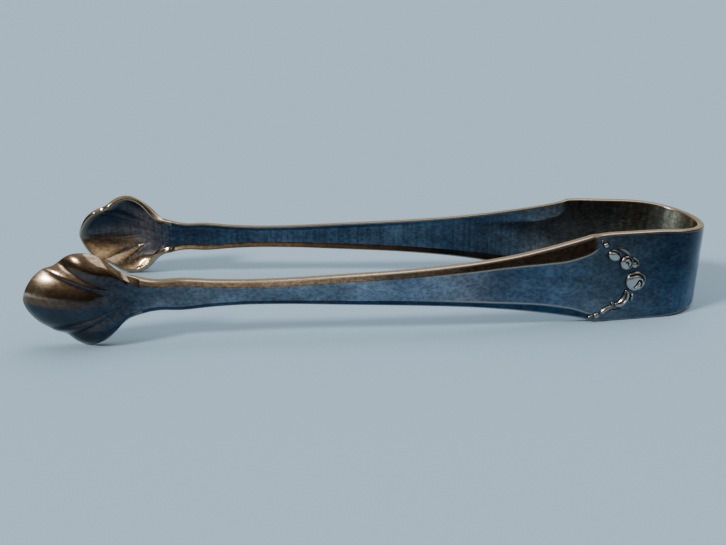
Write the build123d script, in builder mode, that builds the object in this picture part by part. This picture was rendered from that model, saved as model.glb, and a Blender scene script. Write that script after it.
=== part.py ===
from build123d import *
import math
import os

# Sprung ice tongs: one bow, two tapering arms, two fluted shell bowls and a
# row of scroll ornament at each shoulder.  Millimetres, lying on one edge.
# +X runs from the bowls to the crown of the bow, +Y across the pair of arms
# (the front arm is at -Y) and +Z up the width of the strip.  The origin is
# under the middle of the bounding box, on the surface the tongs lie on.

# ---- driving dimensions ----
length = 127.0            # bowl tips to the outside of the crown
strip_width = 17.6        # width of the strip at the bow, and of each bowl
strip_thickness = 1.4
crown_radius = 10.35      # outside of the crown
crown_half = 7.65         # the strip narrows to this half width at the crown
splay_deg = 7.35          # angle between each side of the bow and the X axis
hinge_clearance = 0.05    # radial gap at the two flexing lines of the crown
flat_end_x = 51.4         # the strip keeps its full width between these two
flat_start_x = 43.0
shoulder_x = 37.5         # where the bow's plain strip meets the bevelled arm
shoulder_half = 7.95      # half the strip's width there
neck_x = -43.0            # where the arm meets its bowl
neck_half = 3.35          # half the strip's width at the neck
rim_y = 16.2              # plane of the bowl's rim, measured from the middle
bowl_depth = 5.0          # rim plane to the outside of the bowl
bowl_centre_x = -51.0     # the bowl's levels shrink towards this point
boss_x = 47.0             # centre of the ornament's round boss
boss_drop = 0.4           # the boss sits this far below mid height
boss_radius = 1.95
boss_height = 0.75

# ---- worked out from them ----
mid_z = strip_width / 2
half_width = strip_width / 2
tip_x = -length / 2
splay = math.radians(splay_deg)
crown_x = length / 2 - crown_radius
mid_radius = crown_radius - strip_thickness / 2
hinge_x = crown_x + mid_radius * math.sin(splay)
hinge_y = mid_radius * math.cos(splay)
side_length = (hinge_x - shoulder_x) / math.cos(splay)
boss_along = (boss_x - hinge_x) / math.cos(splay)

# The whole object is symmetric about this plane, whose x runs to the crown,
# y is the height above mid width, and z points out of the front.
side_plane = Plane(origin=(0, 0, mid_z), x_dir=(1, 0, 0), z_dir=(0, -1, 0))

# The outside of the front side of the bow, with its origin at the boss.
ornament_plane = Plane(
    origin=(
        hinge_x + boss_along * math.cos(splay) + strip_thickness / 2 * math.sin(splay),
        -hinge_y + boss_along * math.sin(splay) - strip_thickness / 2 * math.cos(splay),
        mid_z - boss_drop,
    ),
    x_dir=(math.cos(splay), math.sin(splay), 0),
    z_dir=(math.sin(splay), -math.cos(splay), 0),
)

# The arm's stations from shoulder to neck:
# x, distance of the outer face from the middle, half width, bevel width.
arm_stations = [
    (shoulder_x, 12.48, shoulder_half, 2.5),
    (34.0, 13.0, 7.15, 2.4),
    (30.0, 13.55, 6.35, 2.3),
    (23.0, 14.35, 5.15, 2.1),
    (15.0, 15.0, 4.2, 1.8),
    (5.0, 15.75, 3.45, 1.4),
    (-8.0, 16.25, 2.8, 1.15),
    (-22.0, 16.6, 2.3, 1.0),
    (-30.0, 16.85, 2.5, 0.95),
    (-36.0, 17.1, 2.95, 0.95),
    (-39.5, 17.3, 2.85, 0.5),
    (neck_x, 17.5, neck_half, 0.3),
]
bevel_drop = 0.19         # part of the bevel's width that it falls by

# The bowl's levels out from the rim: share of the depth, size of the outline.
outer_levels = [(0.0, 1.0), (0.26, 1.0), (0.55, 0.88), (0.82, 0.64), (1.0, 0.26)]
inner_levels = [(0.0, 0.87), (0.26, 0.84), (0.52, 0.66), (0.74, 0.3)]

# Domed pieces of the ornament, placed from the boss:
# name, along the strip, up, half length, half breadth, tilt, height.
domes = [
    ("top_leaf", -6.7, 7.6, 0.55, 0.3, 70, 0.3),
    ("upper_bead", -5.95, 7.0, 0.5, 0.5, 0, 0.45),
    ("bean_scroll", -4.15, 5.0, 1.25, 0.95, -32, 0.65),
    ("side_leaf", -2.0, 5.9, 0.95, 0.3, -38, 0.3),
    ("oval_scroll", -1.95, 3.5, 1.15, 1.3, 0, 0.7),
    ("curl_leaf", -0.15, 3.35, 0.5, 0.95, 12, 0.5),
    ("drop_leaf", -0.8, -3.15, 0.95, 0.3, 80, 0.3),
    ("tail_scroll", -5.9, -5.9, 1.4, 0.55, 22, 0.45),
    ("lower_bead", -7.65, -7.0, 0.6, 0.6, 0, 0.45),
    ("foot_leaf", -8.75, -7.6, 0.4, 0.3, 20, 0.3),
]


def bowl_outline(size):
    """Outline of the shell with five lobes, shrunk about the bowl's centre.

    Drawn on side_plane or a plane parallel to it.
    """
    def place(x, y):
        return (bowl_centre_x + (x - bowl_centre_x) * size, y * size)

    neck = place(neck_x, neck_half)
    flare = place(-46.6, 5.0)
    shoulder = place(-49.6, 8.1)
    lobe_top = place(-52.6, half_width)
    side_notch = place(-56.6, 7.2)
    rib_top = place(-58.2, 6.5)
    tip_notch = place(-59.4, 5.5)
    tip_lobe = place(-61.6, 3.7)
    tip = place(tip_x, 0)
    with BuildLine() as edge:
        ThreePointArc(neck, flare, shoulder)
        ThreePointArc(shoulder, lobe_top, side_notch)
        ThreePointArc(side_notch, rib_top, tip_notch)
        Spline(tip_notch, tip_lobe, tip, tangents=[(-1, -0.5), (0, -1)])
        mirror(about=Plane.XZ)
        Line(neck, (neck[0], -neck[1]))
    return edge.line


os.makedirs("parts", exist_ok=True)


def finish(piece, label):
    """Label a piece and write its STEP file."""
    piece.label = label
    export_step(piece, f"parts/{label}.step")


# ---- bow crown: the bent end of the spring strip ----
arc_half = 90 - splay_deg
with BuildPart() as bow_crown:
    with BuildSketch(Plane.XY):
        with BuildLine():
            outside = CenterArc((crown_x, 0), crown_radius, -arc_half, 2 * arc_half)
            inside = CenterArc((crown_x, 0), crown_radius - strip_thickness, -arc_half, 2 * arc_half)
            Line(outside @ 0, inside @ 0)
            Line(outside @ 1, inside @ 1)
        make_face()
    extrude(amount=strip_width)
    # the strip narrows in a slow curve round the crown
    with BuildSketch(side_plane):
        with BuildLine():
            narrowing = Spline(
                (flat_end_x, half_width),
                (length / 2, crown_half),
                tangents=[(1, 0), (1, -0.15)],
            )
            Line(narrowing @ 1, (length / 2, 0))
            Line(narrowing @ 0, (flat_end_x, 0))
            mirror(about=Plane.XZ)
        make_face()
    extrude(amount=crown_radius + 1, both=True, mode=Mode.INTERSECT)
    # concave ends that the two sides turn in
    with BuildSketch(Plane.XY):
        with Locations((hinge_x, -hinge_y), (hinge_x, hinge_y)):
            Circle(strip_thickness / 2 + hinge_clearance)
    extrude(amount=strip_width, mode=Mode.SUBTRACT)
finish(bow_crown.part, "bow_crown")

# The front pieces are collected here, to be mirrored for the back.
front = {}

# ---- shoulder: the plain side of the bow, with a rounded flexing edge ----
with BuildPart() as shoulder:
    with BuildSketch(Plane(origin=(hinge_x, -hinge_y, 0), x_dir=ornament_plane.x_dir, z_dir=(0, 0, 1))):
        with Locations((-side_length / 2 - 1, 0)):
            Rectangle(side_length + 2, strip_thickness)
        Circle(strip_thickness / 2)
    extrude(amount=strip_width)
    with BuildSketch(side_plane):
        with BuildLine():
            flare = Spline(
                (shoulder_x, shoulder_half),
                (39.5, 8.5),
                (flat_start_x, half_width),
                tangents=[(1, 0.3), (1, 0)],
            )
            Line(flare @ 0, (shoulder_x, 0))
            Line(flare @ 1, (flat_end_x, half_width))
            narrowing = Spline(
                (flat_end_x, half_width),
                (length / 2, crown_half),
                tangents=[(1, 0), (1, -0.15)],
            )
            Line(narrowing @ 1, (length / 2, 0))
            mirror(about=Plane.XZ)
        make_face()
    extrude(amount=crown_radius + 8, mode=Mode.INTERSECT)
front["shoulder"] = shoulder.part

# ---- arm: tapering strip, bevelled along both outer edges ----
with BuildPart() as arm:
    for x, outer_y, half, bevel in arm_stations:
        drop = bevel * bevel_drop
        with BuildSketch(Plane(origin=(x, 0, mid_z), x_dir=(0, -1, 0), z_dir=(-1, 0, 0))):
            with BuildLine():
                Polyline(
                    (outer_y - strip_thickness, -half),
                    (outer_y - drop, -half),
                    (outer_y, -half + bevel),
                    (outer_y, half - bevel),
                    (outer_y - drop, half),
                    (outer_y - strip_thickness, half),
                    close=True,
                )
            make_face()
    loft(ruled=True)
front["arm"] = arm.part

# ---- bowl: fluted shell, hollow towards the other one ----
with BuildPart() as bowl:
    for depth_share, size in outer_levels:
        with BuildSketch(side_plane.offset(rim_y + bowl_depth * depth_share)):
            add(bowl_outline(size))
            make_face()
    loft(ruled=True)
    for depth_share, size in inner_levels:
        with BuildSketch(side_plane.offset(rim_y + bowl_depth * depth_share)):
            add(bowl_outline(size))
            make_face()
    loft(ruled=True, mode=Mode.SUBTRACT)
front["bowl"] = bowl.part

# ---- ornament: round boss with a raised rim and a curled groove ----
with BuildPart() as boss:
    with BuildSketch(ornament_plane):
        Circle(boss_radius)
    extrude(amount=boss_height)
    fillet(boss.faces().sort_by(Axis.Y)[0].edges(), boss_height * 0.6)
    with BuildSketch(ornament_plane.offset(boss_height - 0.2)):
        with BuildLine():
            ThreePointArc((1.0, -0.7), (0.2, 1.0), (-1.1, 0.1))
            ThreePointArc((-1.1, 0.1), (0.1, 0.65), (1.0, -0.7))
        make_face()
    extrude(amount=boss_height, mode=Mode.SUBTRACT)
front["boss"] = boss.part

# ---- ornament: crescent scroll ----
with BuildPart() as crescent:
    with BuildSketch(ornament_plane):
        with BuildLine():
            ThreePointArc((-1.7, -2.25), (-1.95, -4.05), (-4.0, -5.0))
            ThreePointArc((-4.0, -5.0), (-3.1, -3.35), (-1.7, -2.25))
        make_face()
    extrude(amount=0.6, taper=20)
front["crescent_scroll"] = crescent.part

# ---- ornament: domed beads, scrolls and leaves ----
for name, along, up, half_length, half_breadth, tilt, height in domes:
    half_ball = Sphere(1, arc_size1=0, align=(Align.CENTER, Align.CENTER, Align.MIN))
    dome = scale(half_ball, by=(half_length, half_breadth, height))
    with BuildPart(ornament_plane) as piece:
        with Locations(Location((along, up, 0), (0, 0, tilt))):
            add(dome)
    front[name] = piece.part

# ---- write the front pieces, and their mirror images at the back ----
for name, piece in front.items():
    finish(piece, f"front_{name}")
    with BuildPart() as mirrored:
        mirror(piece, about=Plane.XZ)
    finish(mirrored.part, f"back_{name}")
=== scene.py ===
import logging
import math
from dataclasses import dataclass, field, replace
from enum import Enum
from typing import Sequence

import bmesh
import bpy
import numpy as np
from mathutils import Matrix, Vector


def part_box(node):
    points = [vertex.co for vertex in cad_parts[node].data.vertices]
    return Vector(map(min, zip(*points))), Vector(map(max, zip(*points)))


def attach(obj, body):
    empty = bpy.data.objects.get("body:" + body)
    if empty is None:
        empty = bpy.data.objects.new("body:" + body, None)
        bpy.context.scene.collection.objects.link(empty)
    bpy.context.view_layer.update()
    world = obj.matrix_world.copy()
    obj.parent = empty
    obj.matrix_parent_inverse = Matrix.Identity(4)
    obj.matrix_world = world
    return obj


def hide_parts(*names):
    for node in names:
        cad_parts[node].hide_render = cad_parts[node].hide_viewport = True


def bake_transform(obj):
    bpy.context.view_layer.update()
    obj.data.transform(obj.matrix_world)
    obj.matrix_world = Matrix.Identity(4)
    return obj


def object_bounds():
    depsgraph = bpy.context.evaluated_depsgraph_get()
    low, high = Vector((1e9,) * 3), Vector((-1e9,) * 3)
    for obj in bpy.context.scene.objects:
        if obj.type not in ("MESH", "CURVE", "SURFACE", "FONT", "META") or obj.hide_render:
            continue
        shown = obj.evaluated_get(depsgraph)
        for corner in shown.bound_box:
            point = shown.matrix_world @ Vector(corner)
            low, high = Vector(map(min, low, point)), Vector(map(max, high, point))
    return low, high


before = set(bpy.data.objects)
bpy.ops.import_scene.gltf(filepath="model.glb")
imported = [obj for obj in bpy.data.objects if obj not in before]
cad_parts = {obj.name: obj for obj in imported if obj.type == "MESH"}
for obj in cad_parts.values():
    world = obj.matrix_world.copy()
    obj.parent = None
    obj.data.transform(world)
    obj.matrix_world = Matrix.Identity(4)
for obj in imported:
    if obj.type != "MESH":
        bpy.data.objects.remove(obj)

log = logging.getLogger("ice_tongs")

MM = 0.001
CAD_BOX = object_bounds()
HALF_LENGTH = (CAD_BOX[1].x - CAD_BOX[0].x) / 2 / MM
CORNER_STEPS = 6

Colour = tuple[float, float, float]
Stop = tuple[float, Colour]
Span = tuple[float, float]
Swing = tuple[float, float, float, float]
Point = tuple[float, float]


class Side(Enum):
    """Which half of the tongs a piece belongs to; the value is the sign of its y."""

    FRONT = -1.0
    BACK = 1.0

    @property
    def label(self) -> str:
        """Lower-case name used at the start of piece names."""
        return self.name.lower()

    @property
    def body(self) -> str:
        """CAD body that this half rides on."""
        return f"{self.label}_half"


class Tone(Enum):
    """Vertex attributes that tell the finishes where they are on the metal."""

    # Worn edges and ornament tops; on the strip's edges and creases also a painted highlight.
    WEAR = "wear"
    INSIDE = "inside"
    # Darker creases, chased lines and fan lines; at the feet of the ornament's shapes, painted shade.
    GROOVE = "groove"


class CurveThrough:
    """A smooth curve through a few (x, value) points, read by x."""

    def __init__(self, points: Sequence[Point], round_peaks: bool = False) -> None:
        """Fit the curve.

        Args:
            points: (x, value) pairs in any order.
            round_peaks: True for a curve with continuous curvature, False for one that
                never overshoots its points.
        """
        ordered = sorted(points)
        self.x = np.array([p[0] for p in ordered])
        self.y = np.array([p[1] for p in ordered])
        self.slope = self._curved_slopes() if round_peaks else self._safe_slopes()

    def _safe_slopes(self) -> np.ndarray:
        """Work out slopes that keep the curve between its points.

        Returns:
            One slope for each point.
        """
        step = np.diff(self.x)
        rate = np.diff(self.y) / step
        slope = np.zeros(len(self.x))
        for i in range(1, len(rate)):
            if rate[i - 1] * rate[i] > 0:
                slope[i] = 2 * rate[i - 1] * rate[i] / (rate[i - 1] + rate[i])
        slope[0], slope[-1] = rate[0], rate[-1]
        return slope

    def _curved_slopes(self) -> np.ndarray:
        """Work out the slopes of the natural cubic spline.

        Returns:
            One slope for each point.
        """
        count = len(self.x)
        step = np.diff(self.x)
        rate = np.diff(self.y) / step
        system = np.zeros((count, count))
        right = np.zeros(count)
        system[0, :2] = 2, 1
        right[0] = 3 * rate[0]
        system[-1, -2:] = 1, 2
        right[-1] = 3 * rate[-1]
        for i in range(1, count - 1):
            system[i, i - 1 : i + 2] = step[i], 2 * (step[i - 1] + step[i]), step[i - 1]
            right[i] = 3 * (step[i] * rate[i - 1] + step[i - 1] * rate[i])
        return np.linalg.solve(system, right)

    def __call__(self, x: np.ndarray) -> np.ndarray:
        """Read the curve; beyond its ends it goes on straight.

        Args:
            x: where to read it.

        Returns:
            One value for each x.
        """
        x = np.asarray(x, float)
        i = np.clip(np.searchsorted(self.x, x) - 1, 0, len(self.x) - 2)
        width = self.x[i + 1] - self.x[i]
        t = (x - self.x[i]) / width
        inner = (
            (2 * t**3 - 3 * t**2 + 1) * self.y[i]
            + (t**3 - 2 * t**2 + t) * width * self.slope[i]
            + (3 * t**2 - 2 * t**3) * self.y[i + 1]
            + (t**3 - t**2) * width * self.slope[i + 1]
        )
        low = self.y[0] + (x - self.x[0]) * self.slope[0]
        high = self.y[-1] + (x - self.x[-1]) * self.slope[-1]
        return np.where(x < self.x[0], low, np.where(x > self.x[-1], high, inner))


def ease(t: np.ndarray) -> np.ndarray:
    """Step smoothly from 0 to 1.

    Args:
        t: how far along the step, from 0 to 1.

    Returns:
        The eased share.
    """
    t = np.clip(t, 0.0, 1.0)
    return t * t * (3 - 2 * t)


def run_along(points: np.ndarray) -> np.ndarray:
    """Measure a polyline.

    Args:
        points: its points, shaped (count, 2).

    Returns:
        The distance run from the first point to each one.
    """
    return np.concatenate([[0], np.cumsum(np.hypot(*np.diff(points, axis=0).T))])


def spine_through(points: Sequence[Point], count: int) -> np.ndarray:
    """Draw a smooth line in the plane through a few points.

    Args:
        points: the points, in order.
        count: how many points the line gets.

    Returns:
        Points shaped (count, 2).
    """
    given = np.array(points)
    run = run_along(given)
    fine = np.linspace(0, run[-1], count)
    curves = [CurveThrough(list(zip(run, given[:, k])), round_peaks=True) for k in (0, 1)]
    return np.stack([curve(fine) for curve in curves], axis=1)


def corner(point: np.ndarray, along: np.ndarray, across: np.ndarray, radius: float) -> np.ndarray:
    """Round a corner, from the face to the edge.

    Args:
        point: the sharp corner.
        along: unit direction away from it over the face.
        across: unit direction away from it over the edge.
        radius: radius of the rounding.

    Returns:
        Points shaped (CORNER_STEPS, 2).
    """
    turn = np.linspace(0, math.pi / 2, CORNER_STEPS)[:, None]
    return point + radius * ((1 - np.sin(turn)) * along + (1 - np.cos(turn)) * across)


def cap_faces(base: int, count: int) -> list[tuple[int, ...]]:
    """Close the end of a skin that is folded back on itself.

    Args:
        base: index of the end loop's first vertex.
        count: number of vertices in the loop; vertex j faces vertex count - 1 - j.

    Returns:
        Faces across the metal.
    """
    last = base + count - 1
    return [(base + j, base + j + 1, last - 1 - j, last - j) for j in range(count // 2 - 1)]


def make_piece(
    name: str, points: np.ndarray, faces: list[tuple[int, ...]], tones: dict[Tone, np.ndarray]
) -> bpy.types.Object:
    """Make a smooth-shaded, closed mesh object.

    Args:
        name: the piece's name.
        points: vertices in millimetres, shaped (count, 3).
        faces: vertex indices of each face.
        tones: one value per vertex for each tone.

    Returns:
        The new object, linked to the scene.
    """
    sharp_from_deg = 50
    mesh = bpy.data.meshes.new(name)
    mesh.from_pydata((points * MM).tolist(), [], faces)
    work = bmesh.new()
    work.from_mesh(mesh)
    bmesh.ops.recalc_face_normals(work, faces=work.faces)
    work.to_mesh(mesh)
    work.free()
    for tone in Tone:
        values = tones.get(tone, np.zeros(len(points)))
        layer = mesh.attributes.new(tone.value, "FLOAT", "POINT")
        layer.data.foreach_set("value", np.asarray(values, np.float32).ravel())
    mesh.shade_smooth()
    mesh.set_sharp_from_angle(angle=math.radians(sharp_from_deg))
    piece = bpy.data.objects.new(name, mesh)
    bpy.context.scene.collection.objects.link(piece)
    return piece


def fill_ramp(ramp: bpy.types.Node, stops: Sequence[Stop]) -> None:
    """Set the colours of a new colour ramp.

    Args:
        ramp: the ramp's node.
        stops: (position from 0 to 1, colour) pairs, in order.
    """
    elements = ramp.color_ramp.elements
    elements.remove(elements[1])
    for i, (position, colour) in enumerate(stops):
        element = elements[0] if i == 0 else elements.new(position)
        element.position = position
        element.color = (*colour, 1.0)


class NodeDesk:
    """Short ways to lay out shading nodes."""

    def __init__(self, tree: bpy.types.NodeTree) -> None:
        """Clear a node tree and work in it.

        Args:
            tree: the tree of a material or of the world.
        """
        self.tree = tree
        self.tree.nodes.clear()

    def add(self, kind: str) -> bpy.types.Node:
        """A new node of a kind."""
        return self.tree.nodes.new(kind)

    def feed(self, socket: bpy.types.NodeSocket, value: object) -> None:
        """Link a socket, or set its value.

        Args:
            socket: the input.
            value: an output to link, or a plain value.
        """
        if isinstance(value, bpy.types.NodeSocket):
            self.tree.links.new(value, socket)
        else:
            socket.default_value = value

    def part_of(self, vector: bpy.types.NodeSocket, axis: str) -> bpy.types.NodeSocket:
        """Take one part of a vector.

        Args:
            vector: the vector.
            axis: "X", "Y" or "Z".

        Returns:
            The number along that axis.
        """
        split = self.add("ShaderNodeSeparateXYZ")
        self.feed(split.inputs["Vector"], vector)
        return split.outputs[axis]

    def spread(
        self, value: object, low: float, high: float, to_low: float = 0.0, to_high: float = 1.0
    ) -> bpy.types.NodeSocket:
        """Stretch a range of values smoothly over another, clamped.

        Args:
            value: the number to stretch.
            low: value that gives to_low.
            high: value that gives to_high.
            to_low: result at low.
            to_high: result at high.

        Returns:
            The stretched number.
        """
        node = self.add("ShaderNodeMapRange")
        node.interpolation_type = "SMOOTHSTEP"
        self.feed(node.inputs["Value"], value)
        for label, number in (("From Min", low), ("From Max", high), ("To Min", to_low), ("To Max", to_high)):
            node.inputs[label].default_value = number
        return node.outputs["Result"]

    def combine(self, operation: str, first: object, second: object) -> bpy.types.NodeSocket:
        """Combine two numbers, clamped to 0..1.

        Args:
            operation: name of the arithmetic, such as "ADD".
            first: one number.
            second: the other.

        Returns:
            The result.
        """
        node = self.add("ShaderNodeMath")
        node.operation = operation
        node.use_clamp = True
        self.feed(node.inputs[0], first)
        self.feed(node.inputs[1], second)
        return node.outputs[0]

    def blend(self, share: object, first: object, second: object) -> bpy.types.NodeSocket:
        """Mix two colours.

        Args:
            share: how much of the second, from 0 to 1.
            first: a colour or an output.
            second: a colour or an output.

        Returns:
            The mixed colour.
        """
        node = self.add("ShaderNodeMix")
        node.data_type = "RGBA"
        self.feed(node.inputs["Factor"], share)
        self.feed(node.inputs[6], (*first, 1.0) if isinstance(first, tuple) else first)
        self.feed(node.inputs[7], (*second, 1.0) if isinstance(second, tuple) else second)
        return node.outputs[2]

    def shade(self, colour: object, factor: object) -> bpy.types.NodeSocket:
        """Scale a colour by a number.

        Args:
            colour: the colour.
            factor: the number.

        Returns:
            The scaled colour.
        """
        node = self.add("ShaderNodeVectorMath")
        node.operation = "SCALE"
        self.feed(node.inputs[0], colour)
        self.feed(node.inputs["Scale"], factor)
        return node.outputs["Vector"]

    def tint(self, colour: object, filter_colour: Colour) -> bpy.types.NodeSocket:
        """Multiply a colour by another.

        Args:
            colour: the colour.
            filter_colour: what it is seen through.

        Returns:
            The tinted colour.
        """
        node = self.add("ShaderNodeVectorMath")
        node.operation = "MULTIPLY"
        self.feed(node.inputs[0], colour)
        node.inputs[1].default_value = filter_colour
        return node.outputs["Vector"]


@dataclass(frozen=True)
class Grain:
    """A cloudy pattern in the metal's film.

    Attributes:
        per_mm: cells in a millimetre along x, y and z.
        detail: how many finer layers are added.
        rough: how strong the finer layers are.
        shift: moves the pattern, so that two patterns differ.
    """

    per_mm: Colour
    detail: float
    rough: float = 0.55
    shift: float = 0.0


class SurfaceDesk(NodeDesk):
    """A desk for one material, which knows where it is on the tongs."""

    def __init__(self, name: str) -> None:
        """Start a material with a shader and its output.

        Args:
            name: the material's name.
        """
        self.material = bpy.data.materials.new(name)
        self.material.use_nodes = True
        super().__init__(self.material.node_tree)
        output = self.add("ShaderNodeOutputMaterial")
        self.shader = self.add("ShaderNodeBsdfPrincipled")
        self.feed(output.inputs["Surface"], self.shader.outputs["BSDF"])
        self.place = self.add("ShaderNodeTexCoord").outputs["Object"]

    def noise(self, grain: Grain) -> bpy.types.NodeSocket:
        """Lay out a cloudy pattern.

        Args:
            grain: its size and roughness.

        Returns:
            The pattern, from 0 to 1.
        """
        mapping = self.add("ShaderNodeMapping")
        mapping.inputs["Scale"].default_value = tuple(cells / MM for cells in grain.per_mm)
        mapping.inputs["Location"].default_value = (grain.shift, grain.shift * 0.7, grain.shift * 1.3)
        self.feed(mapping.inputs["Vector"], self.place)
        node = self.add("ShaderNodeTexNoise")
        node.inputs["Scale"].default_value = 1.0
        node.inputs["Detail"].default_value = grain.detail
        node.inputs["Roughness"].default_value = grain.rough
        self.feed(node.inputs["Vector"], mapping.outputs["Vector"])
        return node.outputs["Fac"]

    def attribute(self, tone: Tone) -> bpy.types.NodeSocket:
        """Read a vertex tone.

        Args:
            tone: which one.

        Returns:
            Its value.
        """
        node = self.add("ShaderNodeAttribute")
        node.attribute_name = tone.value
        return node.outputs["Fac"]

    def zone(self, stops: Sequence[Stop]) -> bpy.types.NodeSocket:
        """Lay out a colour that changes along the tongs.

        Args:
            stops: (x in millimetres, colour) pairs, from the bowls to the crown.

        Returns:
            The colour at each point.
        """
        share = self.add("ShaderNodeMapRange")
        self.feed(share.inputs["Value"], self.part_of(self.place, "X"))
        share.inputs["From Min"].default_value = -HALF_LENGTH * MM
        share.inputs["From Max"].default_value = HALF_LENGTH * MM
        ramp = self.add("ShaderNodeValToRGB")
        fill_ramp(ramp, [((x + HALF_LENGTH) / (2 * HALF_LENGTH), colour) for x, colour in stops])
        self.feed(ramp.inputs["Fac"], share.outputs["Result"])
        return ramp.outputs["Color"]

    def upward(self) -> bpy.types.NodeSocket:
        """How far the surface faces up, from -1 to 1."""
        return self.part_of(self.add("ShaderNodeNewGeometry").outputs["Normal"], "Z")

    def bump(self, height: object, depth_mm: float, under: object = None) -> bpy.types.NodeSocket:
        """Raise a fine relief.

        Args:
            height: the relief, from 0 to 1.
            depth_mm: its depth in millimetres.
            under: another relief that it lies on.

        Returns:
            The surface's new normal.
        """
        node = self.add("ShaderNodeBump")
        node.inputs["Distance"].default_value = depth_mm * MM
        self.feed(node.inputs["Height"], height)
        if under is not None:
            self.feed(node.inputs["Normal"], under)
        return node.outputs["Normal"]


@dataclass(frozen=True)
class AgedSilver:
    """Old silver plate under a tarnish film, worn bright on its edges, with reflection and highlight painted
    into its colour.

    Each Swing is (pattern low, pattern high, result low, result high).

    Attributes:
        name: the material's name.
        face: colours of the outer face along the tongs: tarnish, with painted reflection in its light and
            dark bands.
        upper: colours of surfaces that face up: a painted warm reflection of the room above.
        lower: colours of surfaces that face down: a painted dark blue reflection of what lies below.
        inner: colours of the faces that look at each other: tarnish, with painted reflection in their lighter
            band by the bow.
        inner_upward_reflection: colours where those turn up.
        bright: colours of worn edges; on the strip's edges and creases they are partly a painted highlight.
        dark: colour painted into creases, chased lines and fan lines, and as painted shade at the feet of the
            ornament's shapes.
        gloss: roughness of the polished face, and of the mottled one.
        turning_reflection: colours between the outer face and the surfaces that face up.
        blush: colour of the faint coppery patches in the film.
        cool: what the colour is seen through where the film is bluest.
        rise: how far up a surface faces where the turning colours begin and are full.
        crest: the same for the upper colours.
        fall: how far down an outer surface faces where the lower colours begin and are full.
        inner_rise: the same as crest for the inner faces.
        inner_fall: the same as fall for the inner faces.
        smoke: brightness of the bow's outer face at its lower and its upper edge.
        smoke_height: heights in metres between which that brightness changes.
        smoke_start: x in metres where the bow's painted reflection by height begins and is full.
        clouds: broad cloudy patches in the film.
        drift: slow changes of the film along the tongs.
        speckle: fine mottling of the film.
        patches: size of the coppery patches.
        brushing: fine upright polishing marks on the inner faces.
        scratches: fine scratches along the metal.
        clouded: how much the clouds lighten and darken the film.
        drifted: how much the drift lightens and darkens it.
        cooled: how much of the cool colour the drift lets in.
        speckled: how much the speckle lightens and darkens the film.
        patched: how much of the blush the patches let in.
        brushed: how much the brushing lightens and darkens the inner faces.
        worn_and_highlit: how much of the bright metal shows through the speckle on worn edges.
        mottled: cloud values where the gloss begins to dull and is dullest.
        scratched: pattern values where a scratch begins and is full.
        scratch_dulling: roughness that a scratch adds.
        groove_dulling: roughness that a recess adds.
        scratch_depth: depth of the scratches in millimetres.
        speckle_depth: depth of the speckle in millimetres.
    """

    name: str
    face: tuple[Stop, ...]
    upper: tuple[Stop, ...]
    lower: tuple[Stop, ...]
    inner: tuple[Stop, ...]
    inner_upward_reflection: tuple[Stop, ...]
    bright: tuple[Stop, ...]
    dark: Colour
    gloss: Span
    turning_reflection: tuple[Stop, ...] = ((0.0, (0.1, 0.06, 0.045)),)
    blush: Colour = (0.14, 0.095, 0.09)
    cool: Colour = (0.78, 1.02, 1.16)
    rise: Span = (0.1, 0.17)
    crest: Span = (0.13, 0.2)
    fall: Span = (-0.05, -0.2)
    inner_rise: Span = (0.05, 0.4)
    inner_fall: Span = (-0.1, -0.4)
    smoke: Span = (1.2, 0.45)
    smoke_height: Span = (0.002, 0.0172)
    smoke_start: Span = (0.034, 0.044)
    clouds: Grain = Grain((0.16, 0.3, 0.3), detail=5.0, rough=0.6)
    drift: Grain = Grain((0.06, 0.1, 0.13), detail=2.0, rough=0.5, shift=9.4)
    speckle: Grain = Grain((1.1, 1.7, 1.7), detail=4.0, rough=0.65, shift=3.1)
    patches: Grain = Grain((0.5, 0.8, 0.8), detail=3.0, rough=0.6, shift=6.3)
    brushing: Grain = Grain((1.6, 1.6, 0.05), detail=3.0, shift=5.2)
    scratches: Grain = Grain((0.35, 0.35, 9.0), detail=6.0, rough=0.7, shift=7.7)
    clouded: Swing = (0.3, 0.7, 1.2, 0.8)
    drifted: Swing = (0.35, 0.65, 1.2, 0.8)
    cooled: Swing = (0.45, 0.65, 0.0, 0.45)
    speckled: Swing = (0.32, 0.68, 1.32, 0.68)
    patched: Swing = (0.56, 0.72, 0.0, 0.3)
    brushed: Swing = (0.3, 0.7, 0.75, 1.25)
    worn_and_highlit: Swing = (0.25, 0.6, 0.7, 1.0)
    mottled: Span = (0.35, 0.7)
    scratched: Span = (0.5, 0.72)
    scratch_dulling: float = 0.08
    groove_dulling: float = 0.3
    scratch_depth: float = 0.003
    speckle_depth: float = 0.01

    def _outer_colour(self, desk: SurfaceDesk, upward: bpy.types.NodeSocket) -> bpy.types.NodeSocket:
        """Colour the outer faces by where they are, and paint a reflection by which way they face.

        Args:
            desk: the material under construction.
            upward: how far the surface faces up.

        Returns:
            The colour before mottling.
        """
        # Painted reflection: faces that turn up take dark brown, then warm colours; faces that turn down take
        # dark blue ones.
        colour = desk.blend(desk.spread(upward, *self.rise), desk.zone(self.face), desk.zone(self.turning_reflection))
        colour = desk.blend(desk.spread(upward, *self.crest), colour, desk.zone(self.upper))
        colour = desk.blend(desk.spread(upward, *self.fall), colour, desk.zone(self.lower))
        # On the bow, painted reflection by height: lighter towards the lower edge, darker towards the upper.
        height, along = desk.part_of(desk.place, "Z"), desk.part_of(desk.place, "X")
        reflection_painted = desk.shade(colour, desk.spread(height, *self.smoke_height, *self.smoke))
        return desk.blend(desk.spread(along, *self.smoke_start), colour, reflection_painted)

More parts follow.
